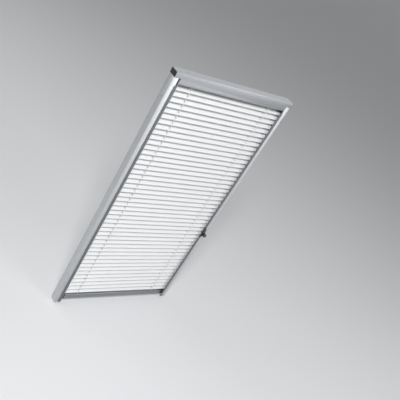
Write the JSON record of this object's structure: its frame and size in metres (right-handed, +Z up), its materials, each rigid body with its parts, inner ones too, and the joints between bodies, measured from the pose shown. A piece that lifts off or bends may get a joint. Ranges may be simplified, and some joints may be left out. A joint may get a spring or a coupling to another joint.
{
  "type": "roof window venetian blind",
  "caption": "Aluminium venetian blind for a roof window, with a top casing, side rails that hold tilting slats, a bottom bar and a tilt slider on one rail.",
  "frame": {"origin": "middle of the casing's top fixing face, between its two screw holes", "axes": "+X along the slats, -Y towards the room, +Z up the side rails"},
  "size_m": [0.549, 0.0463, 1.0725],
  "materials": {
    "slats": "stove-enamelled aluminium strip, satin white",
    "casing": "anodised aluminium, fine matt",
    "rails": "anodised aluminium, fine matt",
    "trims": "extruded dark grey vinyl strip",
    "bottom_bar": "anodised aluminium, fine matt",
    "end_fittings": "moulded black polyamide, fine grain",
    "knob": "moulded dark grey polyamide",
    "inner_mouldings": "moulded white acetal",
    "shaft": "drawn zinc-plated steel",
    "cords": "braided white polyester"
  },
  "bodies": {
    "frame": {"top_casing": "casing", "casing_ends": "end_fittings", "shaft_cradles": "inner_mouldings", "rail_left": "rails", "rail_right": "rails", "edge_trims": "trims", "bottom_bar": "bottom_bar", "bar_ends": "end_fittings", "ladder_cords": "cords", "inner_cords": "cords"},
    "shaft": {"tilt_shaft": "shaft", "shaft_wheels": "inner_mouldings"},
    "tilt_control": {"tilt_slider": "end_fittings", "tilt_knob": "knob"},
    "idler": {"cord_idler": "inner_mouldings"},
    "slat_01": {"slat_01": "slats"},
    "slat_02": {"slat_02": "slats"},
    "slat_03": {"slat_03": "slats"},
    "slat_04": {"slat_04": "slats"},
    "slat_05": {"slat_05": "slats"},
    "slat_06": {"slat_06": "slats"},
    "slat_07": {"slat_07": "slats"},
    "slat_08": {"slat_08": "slats"},
    "slat_09": {"slat_09": "slats"},
    "slat_10": {"slat_10": "slats"},
    "slat_11": {"slat_11": "slats"},
    "slat_12": {"slat_12": "slats"},
    "slat_13": {"slat_13": "slats"},
    "slat_14": {"slat_14": "slats"},
    "slat_15": {"slat_15": "slats"},
    "slat_16": {"slat_16": "slats"},
    "slat_17": {"slat_17": "slats"},
    "slat_18": {"slat_18": "slats"},
    "slat_19": {"slat_19": "slats"},
    "slat_20": {"slat_20": "slats"},
    "slat_21": {"slat_21": "slats"},
    "slat_22": {"slat_22": "slats"},
    "slat_23": {"slat_23": "slats"},
    "slat_24": {"slat_24": "slats"},
    "slat_25": {"slat_25": "slats"},
    "slat_26": {"slat_26": "slats"},
    "slat_27": {"slat_27": "slats"},
    "slat_28": {"slat_28": "slats"},
    "slat_29": {"slat_29": "slats"},
    "slat_30": {"slat_30": "slats"},
    "slat_31": {"slat_31": "slats"},
    "slat_32": {"slat_32": "slats"},
    "slat_33": {"slat_33": "slats"},
    "slat_34": {"slat_34": "slats"},
    "slat_35": {"slat_35": "slats"},
    "slat_36": {"slat_36": "slats"},
    "slat_37": {"slat_37": "slats"},
    "slat_38": {"slat_38": "slats"},
    "slat_39": {"slat_39": "slats"},
    "slat_40": {"slat_40": "slats"},
    "slat_41": {"slat_41": "slats"},
    "slat_42": {"slat_42": "slats"},
    "slat_43": {"slat_43": "slats"},
    "slat_44": {"slat_44": "slats"},
    "slat_45": {"slat_45": "slats"},
    "slat_46": {"slat_46": "slats"}
  },
  "joints": [
    {"name": "tilt", "type": "hinge", "parent": "frame", "child": "shaft", "pos_m": [0, 0, -0.0195], "axis": [1, 0, 0], "range_deg": [-113, 37], "deforming": ["ladder_cords"]},
    {"name": "control_slide", "type": "slide", "parent": "frame", "child": "tilt_control", "axis": [0, 0, -1], "range_m": [-0.0199, 0.0066]},
    {"name": "idler_turn", "type": "hinge", "parent": "frame", "child": "idler", "pos_m": [0.265, 0, -1.0603], "axis": [1, 0, 0], "range_deg": [-114, 38]},
    {"name": "slat_01_tilt", "type": "hinge", "parent": "frame", "child": "slat_01", "pos_m": [0, 0, -0.0548], "axis": [1, 0, 0], "range_deg": [-114, 38]},
    {"name": "slat_02_tilt", "type": "hinge", "parent": "frame", "child": "slat_02", "pos_m": [0, 0, -0.0763], "axis": [1, 0, 0], "range_deg": [-114, 38]},
    {"name": "slat_03_tilt", "type": "hinge", "parent": "frame", "child": "slat_03", "pos_m": [0, 0, -0.0978], "axis": [1, 0, 0], "range_deg": [-114, 38]},
    {"name": "slat_04_tilt", "type": "hinge", "parent": "frame", "child": "slat_04", "pos_m": [0, 0, -0.1193], "axis": [1, 0, 0], "range_deg": [-114, 38]},
    {"name": "slat_05_tilt", "type": "hinge", "parent": "frame", "child": "slat_05", "pos_m": [0, 0, -0.1408], "axis": [1, 0, 0], "range_deg": [-114, 38]},
    {"name": "slat_06_tilt", "type": "hinge", "parent": "frame", "child": "slat_06", "pos_m": [0, 0, -0.1623], "axis": [1, 0, 0], "range_deg": [-114, 38]},
    {"name": "slat_07_tilt", "type": "hinge", "parent": "frame", "child": "slat_07", "pos_m": [0, 0, -0.1838], "axis": [1, 0, 0], "range_deg": [-114, 38]},
    {"name": "slat_08_tilt", "type": "hinge", "parent": "frame", "child": "slat_08", "pos_m": [0, 0, -0.2053], "axis": [1, 0, 0], "range_deg": [-114, 38]},
    {"name": "slat_09_tilt", "type": "hinge", "parent": "frame", "child": "slat_09", "pos_m": [0, 0, -0.2268], "axis": [1, 0, 0], "range_deg": [-114, 38]},
    {"name": "slat_10_tilt", "type": "hinge", "parent": "frame", "child": "slat_10", "pos_m": [0, 0, -0.2483], "axis": [1, 0, 0], "range_deg": [-114, 38]},
    {"name": "slat_11_tilt", "type": "hinge", "parent": "frame", "child": "slat_11", "pos_m": [0, 0, -0.2698], "axis": [1, 0, 0], "range_deg": [-114, 38]},
    {"name": "slat_12_tilt", "type": "hinge", "parent": "frame", "child": "slat_12", "pos_m": [0, 0, -0.2913], "axis": [1, 0, 0], "range_deg": [-114, 38]},
    {"name": "slat_13_tilt", "type": "hinge", "parent": "frame", "child": "slat_13", "pos_m": [0, 0, -0.3128], "axis": [1, 0, 0], "range_deg": [-114, 38]},
    {"name": "slat_14_tilt", "type": "hinge", "parent": "frame", "child": "slat_14", "pos_m": [0, 0, -0.3343], "axis": [1, 0, 0], "range_deg": [-114, 38]},
    {"name": "slat_15_tilt", "type": "hinge", "parent": "frame", "child": "slat_15", "pos_m": [0, 0, -0.3558], "axis": [1, 0, 0], "range_deg": [-114, 38]},
    {"name": "slat_16_tilt", "type": "hinge", "parent": "frame", "child": "slat_16", "pos_m": [0, 0, -0.3773], "axis": [1, 0, 0], "range_deg": [-114, 38]},
    {"name": "slat_17_tilt", "type": "hinge", "parent": "frame", "child": "slat_17", "pos_m": [0, 0, -0.3988], "axis": [1, 0, 0], "range_deg": [-114, 38]},
    {"name": "slat_18_tilt", "type": "hinge", "parent": "frame", "child": "slat_18", "pos_m": [0, 0, -0.4203], "axis": [1, 0, 0], "range_deg": [-114, 38]},
    {"name": "slat_19_tilt", "type": "hinge", "parent": "frame", "child": "slat_19", "pos_m": [0, 0, -0.4418], "axis": [1, 0, 0], "range_deg": [-114, 38]},
    {"name": "slat_20_tilt", "type": "hinge", "parent": "frame", "child": "slat_20", "pos_m": [0, 0, -0.4633], "axis": [1, 0, 0], "range_deg": [-114, 38]},
    {"name": "slat_21_tilt", "type": "hinge", "parent": "frame", "child": "slat_21", "pos_m": [0, 0, -0.4848], "axis": [1, 0, 0], "range_deg": [-114, 38]},
    {"name": "slat_22_tilt", "type": "hinge", "parent": "frame", "child": "slat_22", "pos_m": [0, 0, -0.5063], "axis": [1, 0, 0], "range_deg": [-114, 38]},
    {"name": "slat_23_tilt", "type": "hinge", "parent": "frame", "child": "slat_23", "pos_m": [0, 0, -0.5278], "axis": [1, 0, 0], "range_deg": [-114, 38]},
    {"name": "slat_24_tilt", "type": "hinge", "parent": "frame", "child": "slat_24", "pos_m": [0, 0, -0.5493], "axis": [1, 0, 0], "range_deg": [-114, 38]},
    {"name": "slat_25_tilt", "type": "hinge", "parent": "frame", "child": "slat_25", "pos_m": [0, 0, -0.5708], "axis": [1, 0, 0], "range_deg": [-114, 38]},
    {"name": "slat_26_tilt", "type": "hinge", "parent": "frame", "child": "slat_26", "pos_m": [0, 0, -0.5923], "axis": [1, 0, 0], "range_deg": [-114, 38]},
    {"name": "slat_27_tilt", "type": "hinge", "parent": "frame", "child": "slat_27", "pos_m": [0, 0, -0.6138], "axis": [1, 0, 0], "range_deg": [-114, 38]},
    {"name": "slat_28_tilt", "type": "hinge", "parent": "frame", "child": "slat_28", "pos_m": [0, 0, -0.6353], "axis": [1, 0, 0], "range_deg": [-114, 38]},
    {"name": "slat_29_tilt", "type": "hinge", "parent": "frame", "child": "slat_29", "pos_m": [0, 0, -0.6568], "axis": [1, 0, 0], "range_deg": [-114, 38]},
    {"name": "slat_30_tilt", "type": "hinge", "parent": "frame", "child": "slat_30", "pos_m": [0, 0, -0.6783], "axis": [1, 0, 0], "range_deg": [-114, 38]},
    {"name": "slat_31_tilt", "type": "hinge", "parent": "frame", "child": "slat_31", "pos_m": [0, 0, -0.6998], "axis": [1, 0, 0], "range_deg": [-114, 38]},
    {"name": "slat_32_tilt", "type": "hinge", "parent": "frame", "child": "slat_32", "pos_m": [0, 0, -0.7213], "axis": [1, 0, 0], "range_deg": [-114, 38]},
    {"name": "slat_33_tilt", "type": "hinge", "parent": "frame", "child": "slat_33", "pos_m": [0, 0, -0.7428], "axis": [1, 0, 0], "range_deg": [-114, 38]},
    {"name": "slat_34_tilt", "type": "hinge", "parent": "frame", "child": "slat_34", "pos_m": [0, 0, -0.7643], "axis": [1, 0, 0], "range_deg": [-114, 38]},
    {"name": "slat_35_tilt", "type": "hinge", "parent": "frame", "child": "slat_35", "pos_m": [0, 0, -0.7858], "axis": [1, 0, 0], "range_deg": [-114, 38]},
    {"name": "slat_36_tilt", "type": "hinge", "parent": "frame", "child": "slat_36", "pos_m": [0, 0, -0.8073], "axis": [1, 0, 0], "range_deg": [-114, 38]},
    {"name": "slat_37_tilt", "type": "hinge", "parent": "frame", "child": "slat_37", "pos_m": [0, 0, -0.8288], "axis": [1, 0, 0], "range_deg": [-114, 38]},
    {"name": "slat_38_tilt", "type": "hinge", "parent": "frame", "child": "slat_38", "pos_m": [0, 0, -0.8503], "axis": [1, 0, 0], "range_deg": [-114, 38]},
    {"name": "slat_39_tilt", "type": "hinge", "parent": "frame", "child": "slat_39", "pos_m": [0, 0, -0.8718], "axis": [1, 0, 0], "range_deg": [-114, 38]},
    {"name": "slat_40_tilt", "type": "hinge", "parent": "frame", "child": "slat_40", "pos_m": [0, 0, -0.8933], "axis": [1, 0, 0], "range_deg": [-114, 38]},
    {"name": "slat_41_tilt", "type": "hinge", "parent": "frame", "child": "slat_41", "pos_m": [0, 0, -0.9148], "axis": [1, 0, 0], "range_deg": [-114, 38]},
    {"name": "slat_42_tilt", "type": "hinge", "parent": "frame", "child": "slat_42", "pos_m": [0, 0, -0.9363], "axis": [1, 0, 0], "range_deg": [-114, 38]},
    {"name": "slat_43_tilt", "type": "hinge", "parent": "frame", "child": "slat_43", "pos_m": [0, 0, -0.9578], "axis": [1, 0, 0], "range_deg": [-114, 38]},
    {"name": "slat_44_tilt", "type": "hinge", "parent": "frame", "child": "slat_44", "pos_m": [0, 0, -0.9793], "axis": [1, 0, 0], "range_deg": [-114, 38]},
    {"name": "slat_45_tilt", "type": "hinge", "parent": "frame", "child": "slat_45", "pos_m": [0, 0, -1.0008], "axis": [1, 0, 0], "range_deg": [-114, 38]},
    {"name": "slat_46_tilt", "type": "hinge", "parent": "frame", "child": "slat_46", "pos_m": [0, 0, -1.0223], "axis": [1, 0, 0], "range_deg": [-114, 38]}
  ],
  "couplings": [
    {"joint": "control_slide", "follows": "tilt", "m_per_rad": 0.01},
    {"joint": "idler_turn", "follows": "tilt", "ratio": 1},
    {"joint": "slat_01_tilt", "follows": "tilt", "ratio": 1},
    {"joint": "slat_02_tilt", "follows": "tilt", "ratio": 1},
    {"joint": "slat_03_tilt", "follows": "tilt", "ratio": 1},
    {"joint": "slat_04_tilt", "follows": "tilt", "ratio": 1},
    {"joint": "slat_05_tilt", "follows": "tilt", "ratio": 1},
    {"joint": "slat_06_tilt", "follows": "tilt", "ratio": 1},
    {"joint": "slat_07_tilt", "follows": "tilt", "ratio": 1},
    {"joint": "slat_08_tilt", "follows": "tilt", "ratio": 1},
    {"joint": "slat_09_tilt", "follows": "tilt", "ratio": 1},
    {"joint": "slat_10_tilt", "follows": "tilt", "ratio": 1},
    {"joint": "slat_11_tilt", "follows": "tilt", "ratio": 1},
    {"joint": "slat_12_tilt", "follows": "tilt", "ratio": 1},
    {"joint": "slat_13_tilt", "follows": "tilt", "ratio": 1},
    {"joint": "slat_14_tilt", "follows": "tilt", "ratio": 1},
    {"joint": "slat_15_tilt", "follows": "tilt", "ratio": 1},
    {"joint": "slat_16_tilt", "follows": "tilt", "ratio": 1},
    {"joint": "slat_17_tilt", "follows": "tilt", "ratio": 1},
    {"joint": "slat_18_tilt", "follows": "tilt", "ratio": 1},
    {"joint": "slat_19_tilt", "follows": "tilt", "ratio": 1},
    {"joint": "slat_20_tilt", "follows": "tilt", "ratio": 1},
    {"joint": "slat_21_tilt", "follows": "tilt", "ratio": 1},
    {"joint": "slat_22_tilt", "follows": "tilt", "ratio": 1},
    {"joint": "slat_23_tilt", "follows": "tilt", "ratio": 1},
    {"joint": "slat_24_tilt", "follows": "tilt", "ratio": 1},
    {"joint": "slat_25_tilt", "follows": "tilt", "ratio": 1},
    {"joint": "slat_26_tilt", "follows": "tilt", "ratio": 1},
    {"joint": "slat_27_tilt", "follows": "tilt", "ratio": 1},
    {"joint": "slat_28_tilt", "follows": "tilt", "ratio": 1},
    {"joint": "slat_29_tilt", "follows": "tilt", "ratio": 1},
    {"joint": "slat_30_tilt", "follows": "tilt", "ratio": 1},
    {"joint": "slat_31_tilt", "follows": "tilt", "ratio": 1},
    {"joint": "slat_32_tilt", "follows": "tilt", "ratio": 1},
    {"joint": "slat_33_tilt", "follows": "tilt", "ratio": 1},
    {"joint": "slat_34_tilt", "follows": "tilt", "ratio": 1},
    {"joint": "slat_35_tilt", "follows": "tilt", "ratio": 1},
    {"joint": "slat_36_tilt", "follows": "tilt", "ratio": 1},
    {"joint": "slat_37_tilt", "follows": "tilt", "ratio": 1},
    {"joint": "slat_38_tilt", "follows": "tilt", "ratio": 1},
    {"joint": "slat_39_tilt", "follows": "tilt", "ratio": 1},
    {"joint": "slat_40_tilt", "follows": "tilt", "ratio": 1},
    {"joint": "slat_41_tilt", "follows": "tilt", "ratio": 1},
    {"joint": "slat_42_tilt", "follows": "tilt", "ratio": 1},
    {"joint": "slat_43_tilt", "follows": "tilt", "ratio": 1},
    {"joint": "slat_44_tilt", "follows": "tilt", "ratio": 1},
    {"joint": "slat_45_tilt", "follows": "tilt", "ratio": 1},
    {"joint": "slat_46_tilt", "follows": "tilt", "ratio": 1}
  ]
}
